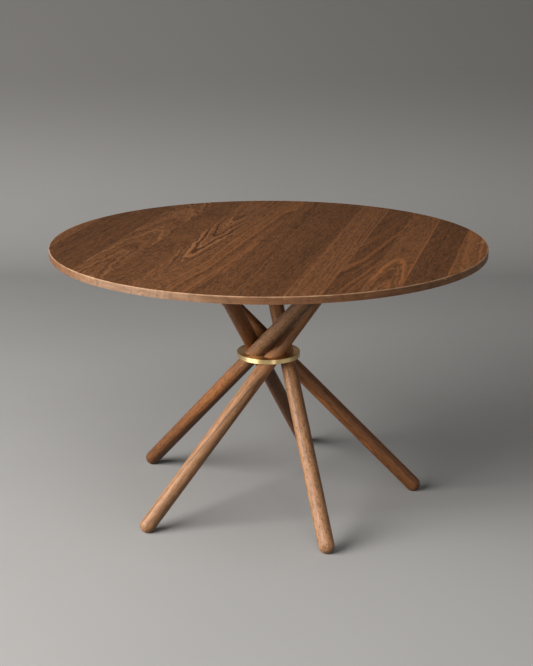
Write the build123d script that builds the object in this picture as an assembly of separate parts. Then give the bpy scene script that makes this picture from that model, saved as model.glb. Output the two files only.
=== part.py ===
from build123d import *
import os
from itertools import accumulate
from math import cos, hypot, radians, sin, sqrt, tan

# Round dining table: an edge-glued plank top on five straight rods that lean past one another
# and cross at a waist, where a brass collar with five oblique bores holds them together.
# Millimetres and degrees. +Z is up, the floor is Z = 0 and the Z axis is the middle of the top.

# ---- Top -------------------------------------------------------------------------------------
TABLE_HEIGHT = 750
TOP_DIAMETER = 1200
TOP_THICKNESS = 19
TOP_EASE = 1.2  # the chamfer that takes the sharpness off the upper rim
BOARD_TURN = 13.5  # the boards run this far clockwise of +Y, seen from above
BOARD_WIDTHS = (77, 95, 90, 80, 88, 90, 100, 95, 93, 87, 112, 76, 77, 40)  # in proportion, from +X

# ---- Legs ------------------------------------------------------------------------------------
LEG_COUNT = 5
LEG_DIAMETER = 43
LEG_LEAN = 44.5  # from the vertical
LEG_GAP = 0.3  # between two neighbours where they cross
WAIST_HEIGHT = 447  # where every leg passes closest to the middle
FIRST_LEG_TURN = -57.2  # bearing of the first leg's waist from +X
FOOT_FLAT = 20  # diameter of the flat under the ball of the foot

# ---- Collar ----------------------------------------------------------------------------------
COLLAR_HEIGHT = 13
COLLAR_DROP = 19  # middle of the collar below the waist
COLLAR_WALL = 11  # metal outside the bores at the collar's lower face
COLLAR_OVERSIZE = 2.0  # bore diameter over leg diameter
COLLAR_FIT = 0.3  # between a leg and the outer side of its bore
COLLAR_CUSP_TRIM = 3  # the throat clears the waist by this much, which blunts the cusps
COLLAR_EASE = 0.6

# ---- What joins the legs to the top ----------------------------------------------------------
PLATE_LENGTH = 112
PLATE_WIDTH = 70
PLATE_THICKNESS = 4
PLATE_CORNER_CLIP = 12
PLATE_TURN = -7  # off square to the leg, which keeps the screws off the seams
PLATE_SCREWS = 2
PLATE_SCREW_SPACING = 82
SCREW_DIAMETER = 6
SCREW_LENGTH = 18
SCREW_HEAD_ACROSS_FLATS = 10
SCREW_HEAD_HEIGHT = 4
STUD_DIAMETER = 8
STUD_LENGTH = 40
THREAD_FIT = 0.15  # around a threaded shank, which is drawn plain
HOLE_FIT = 0.5  # around a shank that passes through a plate
TIP_ROOM = 1  # depth of a blind hole past what goes in it

# ---- What follows from them ------------------------------------------------------------------
TOP_RADIUS = TOP_DIAMETER / 2
UNDERSIDE = TABLE_HEIGHT - TOP_THICKNESS
LEG_TOP = UNDERSIDE - PLATE_THICKNESS
LEG_RADIUS = LEG_DIAMETER / 2
LEG_STEP = 360 / LEG_COUNT
LEAN_SLOPE = tan(radians(LEG_LEAN))

# Two neighbouring rods of a ring of leaning rods stay one diameter and the gap apart when the
# circle on which their waists lie has this radius.
HALF_STEP = radians(LEG_STEP / 2)
ROD_SPACING = LEG_DIAMETER + LEG_GAP
WAIST_RADIUS = ROD_SPACING * hypot(1, cos(HALF_STEP) * LEAN_SLOPE) / (2 * sin(HALF_STEP))

FOOT_BALL_HEIGHT = sqrt(LEG_RADIUS**2 - (FOOT_FLAT / 2) ** 2)
COLLAR_BASE = WAIST_HEIGHT - COLLAR_DROP - COLLAR_HEIGHT / 2
BORE_RADIUS = LEG_RADIUS + COLLAR_OVERSIZE / 2
BORE_INSET = COLLAR_OVERSIZE / 2 - COLLAR_FIT

# The first leg is drawn with its waist on +X, so that it leans in a plane parallel to YZ. Its
# stud stands upright, so it enters beside the middle of the leg's head to stay inside the rod.
HEAD_OFFSET = LEAN_SLOPE * (LEG_TOP - WAIST_HEIGHT)
STUD_DEPTH = STUD_LENGTH - PLATE_THICKNESS
STUD_OFFSET = HEAD_OFFSET - LEAN_SLOPE * STUD_DEPTH / 2

BOTTOM_UP = (Align.CENTER, Align.CENTER, Align.MIN)
TOP_DOWN = (Align.CENTER, Align.CENTER, Align.MAX)


# ---- Placing ---------------------------------------------------------------------------------
def leg_turn(number):
    """Turns what is drawn for the leg on +X to leg `number`, which counts from 0."""
    return Rot(0, 0, FIRST_LEG_TURN + number * LEG_STEP)


def along_leg(inset=0):
    """The frame of the leg on +X: origin at its waist, Z up along the rod."""
    return Pos(WAIST_RADIUS - inset, 0, WAIST_HEIGHT) * Rot(-LEG_LEAN, 0, 0)


def board_turn():
    """The frame of the boards: X across them, Y along them."""
    return Rot(0, 0, -BOARD_TURN)


def at_plate(level):
    """The frame of the plate on +X at this height: X along the plate."""
    return Pos(WAIST_RADIUS, HEAD_OFFSET, level) * Rot(0, 0, PLATE_TURN)


def plate_screw_places(level):
    """Where the screws of the plate on +X stand, at this height."""
    return [at_plate(level) * place for place in GridLocations(PLATE_SCREW_SPACING, 0, PLATE_SCREWS, 1)]


# ---- Top -------------------------------------------------------------------------------------
def top_blank():
    """The glued-up disc before it is parted into boards, with the blind holes of its underside."""
    disc = Pos(0, 0, UNDERSIDE) * Cylinder(TOP_RADIUS, TOP_THICKNESS, align=BOTTOM_UP)
    disc = chamfer(disc.edges().sort_by(Axis.Z)[-1], TOP_EASE)
    depth = SCREW_LENGTH - PLATE_THICKNESS + TIP_ROOM
    hole = Cylinder(SCREW_DIAMETER / 2 + THREAD_FIT, depth, align=BOTTOM_UP)
    places = plate_screw_places(UNDERSIDE)
    return disc - [leg_turn(number) * place * hole for number in range(LEG_COUNT) for place in places]


def board_edges():
    """The seams across the top, from the rim on the boards' +X side to the rim on the other."""
    share = TOP_DIAMETER / sum(BOARD_WIDTHS)
    return [TOP_RADIUS - share * reached for reached in accumulate(BOARD_WIDTHS, initial=0)]


def boards():
    """The boards, each the slice of the disc between two seams."""
    blank = top_blank()
    edges = board_edges()
    slices = []
    for right, left in zip(edges, edges[1:]):
        slab = Box(right - left, TOP_DIAMETER, TABLE_HEIGHT, align=BOTTOM_UP)
        slices.append(blank & (board_turn() * Pos((right + left) / 2, 0, 0) * slab))
    return slices


# ---- Legs ------------------------------------------------------------------------------------
def leg():
    """The leg on +X: a turned rod with a ball end, cut level at the plate and at the floor."""
    down = (WAIST_HEIGHT - FOOT_BALL_HEIGHT) / cos(radians(LEG_LEAN))
    up = (LEG_TOP - WAIST_HEIGHT) / cos(radians(LEG_LEAN)) + LEG_DIAMETER * LEAN_SLOPE
    half_way = LEG_RADIUS * sin(radians(45))
    outline = Polyline((0, up), (LEG_RADIUS, up), (LEG_RADIUS, -down))
    outline += ThreePointArc((LEG_RADIUS, -down), (half_way, -down - half_way), (0, -down - LEG_RADIUS))
    outline += Line((0, -down - LEG_RADIUS), (0, up))
    rod = along_leg() * revolve(Plane.XZ * make_face(outline), Axis.Z)
    rod = split(rod, Plane.XY.offset(LEG_TOP), keep=Keep.BOTTOM)
    rod = split(rod, Plane.XY, keep=Keep.TOP)
    hole = Cylinder(STUD_DIAMETER / 2 + THREAD_FIT, STUD_DEPTH + TIP_ROOM, align=TOP_DOWN)
    return rod - Pos(WAIST_RADIUS, STUD_OFFSET, LEG_TOP) * hole


# ---- Collar ----------------------------------------------------------------------------------
def bore_reach(height):
    """How far from the middle the level section of a bore reaches at this height."""
    middle = LEAN_SLOPE * (height - WAIST_HEIGHT)
    long_radius = BORE_RADIUS * hypot(1, LEAN_SLOPE)
    reaches = []
    for bearing in range(360):
        across = WAIST_RADIUS - BORE_INSET + BORE_RADIUS * cos(radians(bearing))
        along = middle + long_radius * sin(radians(bearing))
        reaches.append(hypot(across, along))
    return max(reaches)


def collar():
    """Brass collar: a thick ring whose opening is five bores along the leaning legs."""
    base = Pos(0, 0, COLLAR_BASE)
    radius = bore_reach(COLLAR_BASE) + COLLAR_WALL
    ring = base * Cylinder(radius, COLLAR_HEIGHT, align=BOTTOM_UP)
    ring = chamfer(ring.edges().sort_by(Axis.Z)[-1], COLLAR_EASE)
    ring -= base * Cylinder(WAIST_RADIUS + COLLAR_CUSP_TRIM, COLLAR_HEIGHT, align=BOTTOM_UP)
    bore = along_leg(BORE_INSET) * Cylinder(BORE_RADIUS, 2 * WAIST_HEIGHT)
    return ring - [leg_turn(number) * bore for number in range(LEG_COUNT)]


# ---- Plates, studs and screws ----------------------------------------------------------------
def leg_plate():
    """Steel plate between the leg on +X and the top, tapped for the stud."""
    plate = Box(PLATE_LENGTH, PLATE_WIDTH, PLATE_THICKNESS, align=TOP_DOWN)
    plate = at_plate(UNDERSIDE) * chamfer(plate.edges().filter_by(Axis.Z), PLATE_CORNER_CLIP)
    screw_hole = Cylinder(SCREW_DIAMETER / 2 + HOLE_FIT, PLATE_THICKNESS, align=TOP_DOWN)
    stud_hole = Cylinder(STUD_DIAMETER / 2 + THREAD_FIT, PLATE_THICKNESS, align=TOP_DOWN)
    plate -= Pos(WAIST_RADIUS, STUD_OFFSET, UNDERSIDE) * stud_hole
    return plate - [place * screw_hole for place in plate_screw_places(UNDERSIDE)]


def leg_stud():
    """Hanger bolt of the leg on +X: up out of the leg's head and through the plate."""
    stud = Cylinder(STUD_DIAMETER / 2, STUD_LENGTH, align=TOP_DOWN)
    return Pos(WAIST_RADIUS, STUD_OFFSET, UNDERSIDE) * stud


def plate_screws():
    """The hexagon-head screws of the plate on +X, up through the plate into the top."""
    hexagon = RegularPolygon(SCREW_HEAD_ACROSS_FLATS / 2, 6, major_radius=False)
    screw = Cylinder(SCREW_DIAMETER / 2, SCREW_LENGTH, align=BOTTOM_UP) + extrude(hexagon, -SCREW_HEAD_HEIGHT)
    return [place * screw for place in plate_screw_places(LEG_TOP)]


# ---- The table -------------------------------------------------------------------------------
def one_per_leg(piece):
    """The piece that is drawn for the leg on +X, once for each leg."""
    return [leg_turn(number) * piece for number in range(LEG_COUNT)]


def sub_parts():
    """Every node of the table, by name."""
    nodes = {f"board_{number:02d}": board for number, board in enumerate(boards(), start=1)}
    nodes["waist_collar"] = collar()
    for name, piece in (("leg", leg()), ("leg_plate", leg_plate())):
        for number, copy in enumerate(one_per_leg(piece), start=1):
            nodes[f"{name}_{number}"] = copy
    nodes["leg_studs"] = Compound(children=one_per_leg(leg_stud()))
    screws = [copy for screw in plate_screws() for copy in one_per_leg(screw)]
    nodes["plate_screws"] = Compound(children=screws)
    return nodes


os.makedirs("parts", exist_ok=True)
for name, shape in sub_parts().items():
    export_step(shape, f"parts/{name}.step")
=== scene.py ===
from collections import namedtuple
from math import cos, pi, radians, sin

import bpy
from mathutils import Matrix, Vector


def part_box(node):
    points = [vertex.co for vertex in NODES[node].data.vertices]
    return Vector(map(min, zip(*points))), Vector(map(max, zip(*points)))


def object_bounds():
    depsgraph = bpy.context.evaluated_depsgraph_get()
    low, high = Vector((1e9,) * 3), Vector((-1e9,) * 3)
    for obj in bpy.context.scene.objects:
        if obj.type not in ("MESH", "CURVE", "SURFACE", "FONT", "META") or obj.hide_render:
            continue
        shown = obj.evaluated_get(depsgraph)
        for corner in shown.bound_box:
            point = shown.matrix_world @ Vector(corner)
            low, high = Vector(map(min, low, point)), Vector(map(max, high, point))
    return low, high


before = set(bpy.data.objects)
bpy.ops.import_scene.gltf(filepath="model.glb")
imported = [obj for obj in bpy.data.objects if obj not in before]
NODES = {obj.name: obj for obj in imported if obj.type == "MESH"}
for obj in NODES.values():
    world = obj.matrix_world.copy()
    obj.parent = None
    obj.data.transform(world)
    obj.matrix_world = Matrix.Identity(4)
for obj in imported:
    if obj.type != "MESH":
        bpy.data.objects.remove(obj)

# A round plank table on five leaning rods with a brass collar. Metres, in the frame of the solids:
# +Z is up, the floor is Z = 0, and the camera looks along +Y.

CAD_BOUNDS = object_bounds()

# ---- What the looks take from the solids -----------------------------------------------------
TOP_HEIGHT = CAD_BOUNDS[1][2]
RIM_RADIUS = CAD_BOUNDS[1][0] - 0.0010  # where the arris of the top starts
BOARD_TURN = radians(13.5)  # the boards run this far clockwise of +Y
FOOT_BALL_HEIGHT = 0.019  # from the flat under a foot to the middle of its ball
LEVEL = 0.0001  # points this near in height are on one flat
COLLAR_LOW, COLLAR_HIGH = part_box("waist_collar")


def srgb(red, green, blue):
    """A colour written as 0 to 255, as the shader wants it."""
    parts = [part / 255 for part in (red, green, blue)]
    linear = [((c + 0.055) / 1.055) ** 2.4 if c > 0.04 else c / 12.92 for c in parts]
    return (*linear, 1.0)


# ---- Node building ---------------------------------------------------------------------------
SEED_STEP = 31  # between one seed's place on a line of layers and the next's
NOISE_SWING = 3  # makes a noise that stays within a sixth of its middle swing by a half


class Look:
    """A material, with short names for the nodes that make its look."""

    def __init__(self, name):
        self.material = bpy.data.materials.new(name)
        self.material.use_nodes = True
        self.tree = self.material.node_tree
        self.shader = self.tree.nodes["Principled BSDF"]

    def feed(self, socket, value):
        if isinstance(value, bpy.types.NodeSocket):
            self.tree.links.new(value, socket)
        else:
            socket.default_value = value

    def node(self, kind, *values, **settings):
        """A node with its settings, and its first inputs fed with numbers or other outputs."""
        made = self.tree.nodes.new(kind)
        for key, value in settings.items():
            setattr(made, key, value)
        for socket, value in zip(made.inputs, values):
            self.feed(socket, value)
        return made

    def math(self, operation, *values):
        return self.node("ShaderNodeMath", *values, operation=operation).outputs[0]

    def times(self, one, two):
        return self.math("MULTIPLY", one, two)

    def squares(self, one, two):
        return self.math("ADD", self.math("POWER", one, 2.0), self.math("POWER", two, 2.0))

    def length(self, one, two):
        return self.math("SQRT", self.squares(one, two))

    def vector(self, operation, one, two):
        return self.node("ShaderNodeVectorMath", one, two, operation=operation).outputs[0]

    def parts(self, vector):
        return self.node("ShaderNodeSeparateXYZ", vector).outputs[:3]

    def point(self):
        """The point being shaded, in the frame of the solids."""
        return self.node("ShaderNodeTexCoord").outputs["Object"]

    def placed(self, place):
        """The point being shaded, in the frame `place`."""
        back = place.inverted()
        return self.node("ShaderNodeMapping", self.point(), back.translation, back.to_euler()).outputs[0]

    def tuned(self, made, w, detail, roughness):
        """The outputs of a noise node, set to this slice and this fineness."""
        for name, value in (("W", w), ("Scale", 1.0), ("Detail", detail), ("Roughness", roughness)):
            self.feed(made.inputs[name], value)
        return made.outputs

    def noises(self, vector, waves, detail, roughness, seed):
        """A noise with this many waves per metre along each axis, as one value and as three."""
        made = self.node("ShaderNodeTexNoise", noise_dimensions="4D")
        self.feed(made.inputs["Vector"], self.vector("MULTIPLY", vector, waves))
        return self.tuned(made, seed, detail, roughness)

    def noise(self, vector, waves, detail=2.0, roughness=0.5, seed=0.0):
        return self.noises(vector, waves, detail, roughness, seed)["Fac"]

    def layers(self, depth, width, detail, roughness, seed):
        """Noise along one line only, with a wave every `width` of `depth`."""
        made = self.node("ShaderNodeTexNoise", noise_dimensions="1D")
        w = self.math("MULTIPLY_ADD", depth, 1 / width, SEED_STEP * seed)
        return self.tuned(made, w, detail, roughness)["Fac"]

    def bent(self, vector, waves, reach, seed):
        """The vector moved sideways by up to half of `reach`, and never along."""
        push = self.noises(vector, waves, 2.0, 0.5, seed)["Color"]
        push = self.vector("SUBTRACT", push, (0.5, 0.5, 0.5))
        push = self.vector("MULTIPLY", push, (NOISE_SWING * reach, NOISE_SWING * reach, 0.0))
        return self.vector("ADD", vector, push)

    def spread(self, value, low, high, to_low=0.0, to_high=1.0, smooth=True):
        """`value` from low..high to to_low..to_high, held at the ends."""
        kind = "SMOOTHSTEP" if smooth else "LINEAR"
        ends = value, low, high, to_low, to_high
        return self.node("ShaderNodeMapRange", *ends, interpolation_type=kind).outputs[0]

    def blend(self, factor, first, second, kind="MIX"):
        made = self.node("ShaderNodeMix", data_type="RGBA", blend_type=kind)
        self.feed(made.inputs["Factor"], factor)
        self.feed(made.inputs[6], first)
        self.feed(made.inputs[7], second)
        return made.outputs[2]

    def bump(self, height, strength, distance):
        made = self.node("ShaderNodeBump")
        for name, value in (("Height", height), ("Strength", strength), ("Distance", distance)):
            self.feed(made.inputs[name], value)
        self.feed(self.shader.inputs["Normal"], made.outputs[0])

    def finish(self, **inputs):
        for name, value in inputs.items():
            self.feed(self.shader.inputs[name.replace("_", " ")], value)
        return self.material


def put_on(name, material):
    """Gives a node its material, and smooths it inside each face of the solid."""
    node = NODES[name]
    for slot in node.material_slots:
        slot.material = material
    for polygon in node.data.polygons:
        polygon.use_smooth = True


# ---- Wood: how each piece was cut from its tree ----------------------------------------------
# pith    where the middle of the tree lies from the piece's: across it, and below its face
# taper   how fast the rings climb along the piece, which draws the pointed arches
# ring    the width of a band of years
# wave    how far the fibres wander over a hand's breadth
# curl    how far they wander over a finger's
# line    how dark the bands' edges are
# glow    how much of the warm colour the light bands take
# fleck   how dark the pores are
# tone    how light the whole piece is
# seed    which slice of each noise it takes
# window  the middle (across, along) and the half width and half length of the patch where the
#         figure is strongest, or None where it is even
# sap     how pale a thin strip is along the board's -X edge, and along its +X edge
# amber   how red the wood is at a rod's foot, and at its head
# fade  how light a rod is at the collar, where its foot is 1: painted light and shade, a painted shadow
# under the collar on the front rod and painted light up the right one; it also makes the back left rod
# lighter toward the collar
# pore    how many pores fit in a metre across the grain, and along it
# Lengths are in metres, and places are from the middle of a board's face or of a rod's foot.
Cut = namedtuple(
    "Cut",
    "pith taper ring wave curl line glow fleck tone seed window sap amber fade pore",
    defaults=(None, (0, 0), (0, 0), 1.0, (360, 70)),
)

# From +X to -X.
BOARD_CUTS = (
    Cut((-0.060, 0.030), 0.030, 0.016, 0.008, 0.004, 0.12, 0.25, 0.28, 1.13, 1.0, sap=(0.2, 0)),
    Cut((0.140, 0.060), 0.004, 0.014, 0.010, 0.004, 0.12, 0.02, 0.28, 0.64, 2.0),
    Cut((0.000, 0.030), 0.070, 0.016, 0.008, 0.004, 0.45, 0.80, 0.28, 0.94, 3.0,
        window=(0.002, -0.30, 0.040, 0.17), sap=(0, 0.6)),
    Cut((-0.045, 0.032), -0.130, 0.018, 0.014, 0.003, 0.24, 0.60, 0.28, 0.66, 4.0,
        window=(0.0, -0.05, 0.06, 0.45)),
    Cut((-0.190, 0.050), 0.010, 0.010, 0.005, 0.003, 0.24, 0.10, 0.28, 0.96, 5.0, sap=(0, 0.2)),
    Cut((0.200, 0.080), 0.006, 0.016, 0.010, 0.004, 0.15, 0.06, 0.26, 0.70, 6.0),
    Cut((-0.120, 0.090), 0.015, 0.018, 0.012, 0.004, 0.22, 0.10, 0.34, 0.78, 7.0),
    Cut((0.045, 0.016), 0.060, 0.020, 0.018, 0.005, 0.32, 0.50, 0.36, 0.90, 8.0),
    Cut((-0.004, 0.007), -0.110, 0.009, 0.012, 0.009, 0.85, 0.55, 0.34, 0.98, 9.0,
        window=(-0.004, 0.00, 0.040, 0.30)),
    Cut((0.002, 0.040), 0.300, 0.060, 0.018, 0.005, 0.20, 0.25, 0.28, 0.78, 10.0,
        window=(0.0, 0.10, 0.045, 0.20)),
    Cut((0.014, 0.030), 0.110, 0.011, 0.030, 0.013, 0.52, 0.50, 0.34, 0.85, 11.0),
    Cut((0.160, 0.040), 0.008, 0.014, 0.010, 0.004, 0.12, 0.08, 0.24, 0.64, 12.0),
    Cut((-0.050, 0.025), -0.045, 0.016, 0.014, 0.004, 0.12, 0.08, 0.24, 0.59, 13.0),
    Cut((0.080, 0.030), 0.010, 0.014, 0.010, 0.006, 0.20, 0.15, 0.34, 0.98, 14.0),
)
TAN_BOARDS = (5, 9, 11, 14)

# Front left, front, right, back, back left.
LEG_CUTS = (
    Cut((-0.044, 0.009), 0.050, 0.0050, 0.005, 0.0012, 0.42, 0.40, 0.20, 1.02, 21.0,
        amber=(0, 0.5)),
    Cut((-0.080, 0.060), 0.010, 0.010, 0.005, 0.0015, 0.25, 0.20, 0.66, 1.13, 22.0,
        amber=(0, 0.45), fade=0.90, pore=(215, 200)),
    Cut((0.040, -0.030), -0.016, 0.009, 0.010, 0.003, 0.65, 0.50, 0.30, 0.60, 23.0,
        amber=(1, 1), fade=1.45),
    Cut((-0.050, -0.020), 0.012, 0.010, 0.006, 0.002, 0.30, 0.15, 0.35, 0.60, 24.0,
        amber=(1, 1)),
    Cut((0.004, 0.060), -0.010, 0.014, 0.006, 0.002, 0.45, 0.45, 0.55, 0.43, 25.0,
        amber=(1, 0), fade=1.65, pore=(260, 110)),
)

# ---- Wood: its figure ------------------------------------------------------------------------
# Waves per metre across, through and along the grain.
WAVES = (6, 6, 1.8)
CURLS = (46, 46, 22)
FIBRES = (230, 230, 16)
MOTTLE = (140, 140, 40)
DRIFT = (12, 12, 2.0)
YEAR = 0.0034  # the width of one

# The range of each noise over which its mark comes in.
GOOD_YEARS, LEAN_YEARS = (0.48, 0.66), (0.32, 0.46)
PORES = (0.54, 0.66)
# Where a window ends, in squares of its half size, and how strong the figure still is outside it.
WINDOW_EDGE, OUTSIDE_WINDOW = (0.6, 1.6), 0.25

Grain = namedtuple("Grain", "straight at along growth light edge fine pores fibre mottle drift")


def grain_of(look, place, cut):
    """The figure of a piece whose grain runs along Z of `place`. Each noise adds a number of its
    own to the piece's seed, so that no two follow each other."""
    straight = look.placed(place)

    # the fibres, and all that follows them, wander across the piece
    at = look.bent(straight, WAVES, cut.wave, cut.seed)
    at = look.bent(at, CURLS, cut.curl, cut.seed + 3.1)
    across, through, along = look.parts(at)

    # how far out from the middle of the tree this point grew
    beside = look.math("SUBTRACT", across, cut.pith[0])
    below = look.math("SUBTRACT", through, cut.pith[1])
    age = look.math("MULTIPLY_ADD", along, cut.taper, look.length(beside, below))

    # bands of good and lean years, and the dark line of pores that ends a lean one
    growth = look.layers(age, cut.ring, detail=4.0, roughness=0.62, seed=cut.seed)
    light = look.spread(growth, *GOOD_YEARS)
    edge = look.spread(growth, *LEAN_YEARS, 1.0, 0.0)
    fine = look.layers(age, YEAR, detail=2.0, roughness=0.5, seed=cut.seed + 0.4)
    if cut.window:
        middle_across, middle_along, half_width, half_length = cut.window
        out = look.math("DIVIDE", look.math("SUBTRACT", across, middle_across), half_width)
        up = look.math("DIVIDE", look.math("SUBTRACT", along, middle_along), half_length)
        shown = look.spread(look.squares(out, up), *WINDOW_EDGE, 1.0, OUTSIDE_WINDOW)
        light, edge = look.times(light, shown), look.times(edge, shown)

    # pores as short dark strokes, thick bundles of fibres, and the mottle of a planed face
    wide, long = cut.pore
    strokes = look.noise(at, (wide, wide, long), roughness=0.6, seed=cut.seed)
    pores = look.spread(strokes, *PORES)
    fibre = look.noise(at, FIBRES, detail=3.0, roughness=0.7, seed=cut.seed + 1.3)
    mottle = look.noise(at, MOTTLE, detail=3.0, roughness=0.7, seed=cut.seed + 5.9)
    drift = look.noise(at, DRIFT, seed=cut.seed + 6.8)
    return Grain(straight, at, along, growth, light, edge, fine, pores, fibre, mottle, drift)


# ---- Wood: its colour ------------------------------------------------------------------------
Palette = namedtuple("Palette", "pale deep warm dark")

TOP_PALETTE = Palette(srgb(125, 81, 49), srgb(82, 52, 32), srgb(150, 94, 54), srgb(40, 24, 14))
TOP_TAN = TOP_PALETTE._replace(warm=srgb(160, 108, 70))
LEG_PALETTE = Palette(srgb(171, 125, 91), srgb(124, 89, 60), srgb(194, 138, 85), srgb(60, 40, 25))
AMBER = (1.0, 0.755, 0.51, 1.0)  # what the redder wood is multiplied by

FIBRE_SHARE, MOTTLE_SHARE, YEAR_SHARE = 0.36, 0.48, 0.16
MIX = (0.40, 0.60)  # where deep gives way to pale, in the mix of these three
SAP_STRIP = 0.005  # the width of the pale strip
SAP_BREAKS, SAP_LEAST = (0.35, 0.55), 0.3  # where the drift breaks it, and the share that is left
TONE_DRIFT, DULLEST, BRIGHTEST = (0.25, 0.75), 0.90, 1.10  # what the drift does to the tone
# How far up a rod, from the middle of its foot's ball, its colour changes, and its painted light and
# shade.
AMBER_RISE = (0.40, 0.66)
SHADE_FADE_RISE = (0.0, 0.45)


def stained(look, grain, cut, palette, half):
    """The colour of the wood. `half` is half of a board's width, and a rod has no use for it."""
    mix = look.math("ADD", look.times(grain.fibre, FIBRE_SHARE), look.times(grain.mottle, MOTTLE_SHARE))
    mix = look.math("MULTIPLY_ADD", grain.fine, YEAR_SHARE, mix)
    colour = look.blend(look.spread(mix, *MIX, smooth=False), palette.deep, palette.pale)
    colour = look.blend(look.times(grain.light, cut.glow), colour, palette.warm)
    for side, strength in zip((-1, 1), cut.sap):
        if strength:
            out = look.times(look.parts(grain.straight)[0], side)
            strip = look.spread(out, half - SAP_STRIP, half - SAP_STRIP / 2)
            broken = look.spread(grain.drift, *SAP_BREAKS, SAP_LEAST * strength, strength)
            colour = look.blend(look.times(strip, broken), colour, palette.warm)
    colour = look.blend(look.times(grain.edge, cut.line), colour, palette.dark)
    colour = look.blend(look.times(grain.pores, cut.fleck), colour, palette.dark)
    if any(cut.amber):
        redder = look.spread(grain.along, *AMBER_RISE, *cut.amber)
        colour = look.blend(redder, colour, AMBER, "MULTIPLY")
    levels = DULLEST * cut.tone, BRIGHTEST * cut.tone
    level = look.spread(grain.drift, *TONE_DRIFT, *levels, smooth=False)
    # painted light and shade along the rod, lighter or darker toward the collar
    if cut.fade != 1:
        level = look.times(level, look.spread(grain.along, *SHADE_FADE_RISE, 1.0, cut.fade))
    scaled = look.node("ShaderNodeVectorMath", colour, operation="SCALE")
    look.feed(scaled.inputs["Scale"], level)
    return scaled.outputs[0]


# ---- Wood: the rim of the top, sanded again after staining, with its glint and arris highlight painted ---
# Its colours where it is bare, which also paint the glint of the key light as pale wood, and where the
# stain stayed.
BARE_AND_GLINT_PALE, BARE_AND_GLINT_DEEP = srgb(158, 126, 100), srgb(130, 99, 75)
KEPT_PALE, KEPT_DEEP = srgb(124, 81, 47), srgb(98, 61, 33)
WORN_AND_ARRIS_HIGHLIGHT = srgb(196, 156, 122)  # a painted highlight along the arris, and the scuffs beside it, rubbed nearly bare
# How bare the rim is at each board's edge, from +X to -X: partly how bare each board's rim is, partly a
# painted highlight, barest on the boards left of the middle, where it paints the glint of the key light.
RIM_BARE_AND_GLINT = (0.35, 0.20, 0.05, 0.0, 0.0, 0.05, 0.2, 0.5, 0.85, 1.0, 0.8, 0.2, 0.0, 0.1, 0.4)
FACE_SHARE = 0.15  # of the face's colour, in the rim's
STREAKS, RUBS_AND_GLINTS = (14, 190, 9), (26, 60, 14)  # waves per metre, as above; the second for the scuffs and the painted arris highlight
GROWTH_SHARE, STREAK_SHARE, STREAK_RANGE = 0.35, 0.65, (0.36, 0.60)
RIM_BLUR = 0.0004  # either side of the line where the rim's colour takes over
# How far inside the rim's radius, or below the top's height, the painted arris highlight and the scuffs
# begin and are full.
ARRIS_IN, ARRIS_DOWN = (0.0022, 0.0006), (0.0034, 0.0014)
SCUFFS_IN = (0.045, 0.006)
# The range of the noise that breaks them, and how pale the arris's painted highlight and the scuffs'
# bare wood are at its ends.
ARRIS_HIGHLIGHT = (0.30, 0.60, 0.12, 0.55)
SCUFF_WEAR = (0.60, 0.72, 0.0, 0.35)
LACQUER, LACQUER_ROUGHNESS = 0.65, 0.45


def sanded_and_highlit(look, grain, cut, colour, half, rim_bare_and_glint):
    """The colour of a board with its rim sanded and a glint of the key light painted on it as pale wood,
    a painted highlight along its arris, scuffs beside it, and the lacquer on the rim.
    """
    x, y, height = look.parts(look.point())
    out = look.length(x, y)
    rim = look.spread(out, RIM_RADIUS - RIM_BLUR, RIM_RADIUS + RIM_BLUR)

    streaks = look.noise(grain.at, STREAKS, detail=3.0, roughness=0.55, seed=cut.seed + 7.7)
    streaks = look.math("MULTIPLY_ADD", grain.growth, GROWTH_SHARE, look.times(streaks, STREAK_SHARE))
    streaks = look.spread(streaks, *STREAK_RANGE)
    # how bare the board's rim is here, together with the painted glint of the key light
    bare_and_glint = look.spread(look.parts(grain.straight)[0], -half, half, *rim_bare_and_glint, smooth=False)
    kept = look.blend(streaks, KEPT_DEEP, KEPT_PALE)
    rim_with_glint = look.blend(bare_and_glint, kept, look.blend(streaks, BARE_AND_GLINT_DEEP, BARE_AND_GLINT_PALE))
    colour = look.blend(rim, colour, look.blend(FACE_SHARE, rim_with_glint, colour))

    rubs_and_glints = look.noise(grain.at, RUBS_AND_GLINTS, detail=3.0, roughness=0.6, seed=cut.seed + 9.2)
    # a pale line along the arris: a painted highlight, broken by the same noise as the scuffs
    beside = look.spread(out, *(RIM_RADIUS - far for far in ARRIS_IN))
    arris = look.times(beside, look.spread(height, *(TOP_HEIGHT - far for far in ARRIS_DOWN)))
    colour = look.blend(look.times(arris, look.spread(rubs_and_glints, *ARRIS_HIGHLIGHT)), colour, WORN_AND_ARRIS_HIGHLIGHT)
    near = look.spread(out, *(RIM_RADIUS - far for far in SCUFFS_IN))
    colour = look.blend(look.times(near, look.spread(rubs_and_glints, *SCUFF_WEAR)), colour, WORN_AND_ARRIS_HIGHLIGHT)

    look.finish(Coat_Weight=look.times(rim, LACQUER), Coat_Roughness=LACQUER_ROUGHNESS)
    return colour


# ---- Wood: its finish, an even satin oil that sinks into the pores ---------------------------
Oil = namedtuple("Oil", "roughness specular")
TOP_OIL = Oil(0.50, 0.06)
LEG_OIL = Oil(0.43, 0.38)
OIL_IOR = 1.45
EDGE_HOLLOW = 0.5  # how hollow a band's edge is, where a pore is 1
PORE_DULLING = 0.15  # what a pore adds to the roughness
FIBRE_RELIEF = 0.3  # how high a fibre stands, where a pore is 1 deep
RELIEF, RELIEF_DEPTH = 0.35, 0.0002


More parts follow.
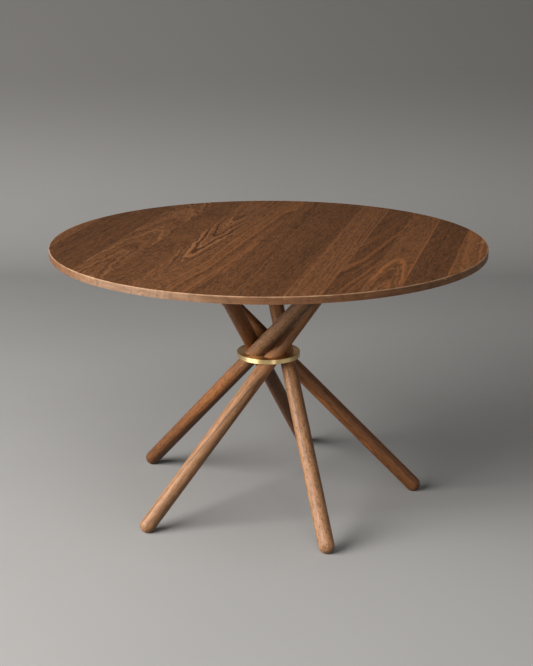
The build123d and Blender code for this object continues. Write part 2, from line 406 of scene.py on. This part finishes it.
def wood(name, place, cut, palette, oil, half=None, rim_bare_and_glint=None):
    look = Look(name)
    grain = grain_of(look, place, cut)
    colour = stained(look, grain, cut, palette, half)
    if rim_bare_and_glint:
        colour = sanded_and_highlit(look, grain, cut, colour, half, rim_bare_and_glint)
    hollow = look.math("MAXIMUM", grain.pores, look.times(grain.edge, EDGE_HOLLOW))
    relief = look.math("MULTIPLY_ADD", grain.fibre, FIBRE_RELIEF, look.times(hollow, -1.0))
    look.bump(relief, RELIEF, RELIEF_DEPTH)
    rough = look.spread(hollow, 0.0, 1.0, oil.roughness, oil.roughness + PORE_DULLING, smooth=False)
    return look.finish(
        Base_Color=colour, Roughness=rough, IOR=OIL_IOR, Specular_IOR_Level=oil.specular
    )


def board_frame(middle):
    """The grain of a board: X across it, Y down into it, Z along it."""
    turn = Matrix.Rotation(-BOARD_TURN, 4, "Z")
    axes = Matrix(((1, 0, 0, 0), (0, 0, 1, 0), (0, -1, 0, 0), (0, 0, 0, 1)))
    return turn @ Matrix.Translation((middle, 0, TOP_HEIGHT)) @ axes


def board_middle(node):
    """How far a board's middle is from the table's, across the boards, and half of its width."""
    turned = [(Matrix.Rotation(BOARD_TURN, 4, "Z") @ v.co).x for v in node.data.vertices]
    return (min(turned) + max(turned)) / 2, (max(turned) - min(turned)) / 2


def middle_of(points):
    low = Vector(min(p[i] for p in points) for i in range(3))
    high = Vector(max(p[i] for p in points) for i in range(3))
    return (low + high) / 2


def leg_frame(node):
    """The grain of a leg: Z up along the rod, from the middle of the ball of its foot."""
    points = [v.co for v in node.data.vertices]
    floor, top = min(p.z for p in points), max(p.z for p in points)
    head = middle_of([p for p in points if p.z > top - LEVEL])
    ball = middle_of([p for p in points if p.z < floor + LEVEL]) + Vector((0, 0, FOOT_BALL_HEIGHT))
    along = (head - ball).normalized()
    return Matrix.Translation(ball) @ along.to_track_quat("Z", "Y").to_matrix().to_4x4()


def dress_wood():
    for number, cut in enumerate(BOARD_CUTS, start=1):
        name = f"board_{number:02d}"
        middle, half = board_middle(NODES[name])
        palette = TOP_TAN if number in TAN_BOARDS else TOP_PALETTE
        edges = RIM_BARE_AND_GLINT[number], RIM_BARE_AND_GLINT[number - 1]
        put_on(name, wood(f"{name}_wood", board_frame(middle), cut, palette, TOP_OIL, half, edges))
    for number, cut in enumerate(LEG_CUTS, start=1):
        name = f"leg_{number}"
        put_on(name, wood(f"{name}_wood", leg_frame(NODES[name]), cut, LEG_PALETTE, LEG_OIL))


# ---- Metal -----------------------------------------------------------------------------------
BRASS, BRASS_HANDLED, WOOD_REFLECTED_IN_FACE = srgb(255, 226, 168), srgb(240, 204, 140), srgb(230, 173, 100)
WOOD_REFLECTED_SHARE = 0.85
FACE_BELOW = (0.0006, 0.0002)  # how far below the collar's face its warmer colour, a painted reflection of the wood above, begins and is full
BRASS_ROUGHNESS, BRASS_ROUGHER = 0.225, 0.10  # the least, and what lines and handling each add
STEEL, STEEL_DUSTY = srgb(30, 30, 31), srgb(46, 45, 44)
ZINC, ZINC_STAINED = srgb(196, 196, 192), srgb(168, 164, 152)
# Waves per metre. Those of the lathe's lines are along the radius, and up the rim.
LATHE_LINES, HANDLING = (2600, 700, 1), (22, 22, 22)
ORANGE_PEEL, DUST, STAIN = (900, 900, 900), (60, 60, 60), (300, 300, 300)
METAL_DEPTH = 0.0001  # of the lathe's lines and the orange peel


def brass():
    """Satin brass, turned on a lathe: fine lines round the rim and the faces, and a painted reflection
    of the wood on its upper face.
    """
    look = Look("collar_brass")
    middle = (COLLAR_LOW + COLLAR_HIGH) / 2
    face = COLLAR_HIGH[2] - middle[2]
    at = look.placed(Matrix.Translation(middle))
    x, y, z = look.parts(at)
    turned = look.node("ShaderNodeCombineXYZ", look.length(x, y), z, 0.0).outputs[0]
    lines = look.noise(turned, LATHE_LINES, detail=4.0, roughness=0.75)
    handled = look.noise(at, HANDLING, detail=3.0, roughness=0.6)
    colour = look.blend(look.spread(handled, 0.3, 0.75), BRASS, BRASS_HANDLED)
    # the upper face warmer: a painted reflection of the wooden rods and top above it
    flat = look.spread(z, *(face - below for below in FACE_BELOW))
    colour = look.blend(look.times(flat, WOOD_REFLECTED_SHARE), colour, WOOD_REFLECTED_IN_FACE)
    look.bump(lines, 0.25, METAL_DEPTH)
    rough = look.math("MULTIPLY_ADD", look.math("ADD", lines, handled), BRASS_ROUGHER, BRASS_ROUGHNESS)
    return look.finish(
        Base_Color=colour, Metallic=1.0, Roughness=rough, Anisotropic=0.9, Anisotropic_Rotation=0.25
    )


def black_steel():
    """Powder coat with its fine orange peel."""
    look = Look("plate_steel")
    at = look.point()
    peel = look.noise(at, ORANGE_PEEL)
    dust = look.noise(at, DUST, detail=3.0)
    colour = look.blend(look.spread(dust, 0.45, 0.8), STEEL, STEEL_DUSTY)
    look.bump(peel, 0.3, METAL_DEPTH)
    return look.finish(Base_Color=colour, Roughness=look.spread(dust, 0.3, 0.8, 0.42, 0.58), IOR=1.5)


def zinc():
    """Zinc-plated fasteners, a little stained."""
    look = Look("fastener_steel")
    stain = look.noise(look.point(), STAIN, detail=3.0, roughness=0.65)
    colour = look.blend(look.spread(stain, 0.35, 0.7), ZINC, ZINC_STAINED)
    rough = look.spread(stain, 0.3, 0.8, 0.28, 0.45)
    return look.finish(Base_Color=colour, Metallic=1.0, Roughness=rough)


def dress_metal():
    put_on("waist_collar", brass())
    steel = black_steel()
    for number in range(1, len(LEG_CUTS) + 1):
        put_on(f"leg_plate_{number}", steel)
    plated = zinc()
    put_on("leg_studs", plated)
    put_on("plate_screws", plated)


# ---- Floor, light and camera -----------------------------------------------------------------
FLOOR_REACH = 7.0
FLOOR_COLOUR = srgb(162, 160, 158)
FLOOR_BOUNCE = srgb(55, 53, 51)  # what the object gets back from it
CLOUD_COLOUR, CLOUD, CLOUD_MOST = srgb(128, 126, 124), (0.9, 0.9, 0.9), 0.10
WALL_COLOUR = srgb(120, 118, 116)
WALL_FROM, WALL_TO = 0.0, 0.9  # heights where the floor's colour gives way to the wall's
WALL_DISTANCE = 2.6  # behind the table's middle
WALL_CURVE = 1.2
WALL_STEPS = 16
WALL_HEIGHT = 4.0

WARM_WHITE = (1.0, 0.99, 0.97)
Lamp = namedtuple("Lamp", "name place aim size power colour", defaults=((1, 1, 1),))
LAMPS = (
    Lamp("key_left", (-4.45, -2.35, 2.75), (0, 0, 0.45), (4.6, 3.2), 600, WARM_WHITE),
    Lamp("front_fill", (0.6, -5.2, 2.0), (0, 0, 0.4), (3.0, 2.0), 8),
    Lamp("front_glint", (1.10, -3.3, 0.9), (0, 0, 0.45), (0.6, 1.2), 9),
    Lamp("right_glint", (2.75, -1.5, 0.9), (0, 0, 0.45), (2.3, 1.3), 4.5),
    Lamp("overhead", (-0.2, -1.3, 2.7), (0, 0, 0.7), (1.8, 1.2), 18),
)
AIR_LIGHT, AIR_MIRRORED = 0.10, 0.25  # the world's strength as light, and in reflections

CAMERA_PLACE = (0.0, -3.5904, 1.5421)
CAMERA_DOWN = 0.2861
CAMERA_LEFT = 0.0016
SENSOR = 36.0  # mm, along the picture's long side
CAMERA_LENS = 71.84  # mm


def add(name, data):
    made = bpy.data.objects.new(name, data)
    bpy.context.scene.collection.objects.link(made)
    return made


def sweep():
    """A pale floor that curves up into the wall behind the table."""
    profile = [(-FLOOR_REACH, 0.0)]
    for step in range(WALL_STEPS + 1):
        angle = step / WALL_STEPS * pi / 2
        profile.append((WALL_DISTANCE + WALL_CURVE * sin(angle), WALL_CURVE * (1 - cos(angle))))
    profile.append((WALL_DISTANCE + WALL_CURVE, WALL_HEIGHT))
    points = [(side * FLOOR_REACH, y, z) for y, z in profile for side in (-1, 1)]
    faces = [(2 * i, 2 * i + 1, 2 * i + 3, 2 * i + 2) for i in range(len(profile) - 1)]
    mesh = bpy.data.meshes.new("studio_floor")
    mesh.from_pydata(points, [], faces)
    floor = add("studio_floor", mesh)
    for polygon in mesh.polygons:
        polygon.use_smooth = True
    look = Look("studio_floor")
    at = look.point()
    cloud = look.noise(at, CLOUD, detail=4.0, roughness=0.55)
    plain = look.blend(look.spread(look.parts(at)[2], WALL_FROM, WALL_TO), FLOOR_COLOUR, WALL_COLOUR)
    seen = look.blend(look.spread(cloud, 0.3, 0.7, 0.0, CLOUD_MOST), plain, CLOUD_COLOUR)
    ray = look.node("ShaderNodeLightPath").outputs
    mirrored = look.math("MAXIMUM", ray["Is Glossy Ray"], ray["Is Transmission Ray"])
    shown = look.math("MAXIMUM", ray["Is Camera Ray"], mirrored)
    colour = look.blend(shown, FLOOR_BOUNCE, seen)
    mesh.materials.append(look.finish(Base_Color=colour, Roughness=0.85, Specular_IOR_Level=0.15))


def lamps():
    for lamp in LAMPS:
        light = bpy.data.lights.new(lamp.name, "AREA")
        light.shape = "RECTANGLE"
        light.size, light.size_y = lamp.size
        light.energy = lamp.power
        light.color = lamp.colour
        made = add(lamp.name, light)
        made.location = lamp.place
        aim = Vector(lamp.aim) - Vector(lamp.place)
        made.rotation_euler = aim.to_track_quat("-Z", "Y").to_euler()
        made.visible_camera = False


def air():
    """An even light from all round, brighter where gloss mirrors it."""
    world = bpy.data.worlds.new("studio_air")
    world.use_nodes = True
    nodes, links = world.node_tree.nodes, world.node_tree.links
    nodes["Background"].inputs["Color"].default_value = (*WARM_WHITE, 1.0)
    strength = nodes.new("ShaderNodeMapRange")
    strength.inputs["To Min"].default_value = AIR_LIGHT
    strength.inputs["To Max"].default_value = AIR_MIRRORED
    links.new(nodes.new("ShaderNodeLightPath").outputs["Is Glossy Ray"], strength.inputs["Value"])
    links.new(strength.outputs["Result"], nodes["Background"].inputs["Strength"])
    bpy.context.scene.world = world


def camera():
    lens = bpy.data.cameras.new("photo_camera")
    lens.sensor_width = SENSOR
    lens.lens = CAMERA_LENS
    made = add("photo_camera", lens)
    made.location = CAMERA_PLACE
    made.rotation_euler = (pi / 2 - CAMERA_DOWN, 0.0, CAMERA_LEFT)
    bpy.context.scene.camera = made


dress_wood()
dress_metal()
sweep()
lamps()
air()
camera()
bpy.context.scene.view_settings.view_transform = "Standard"
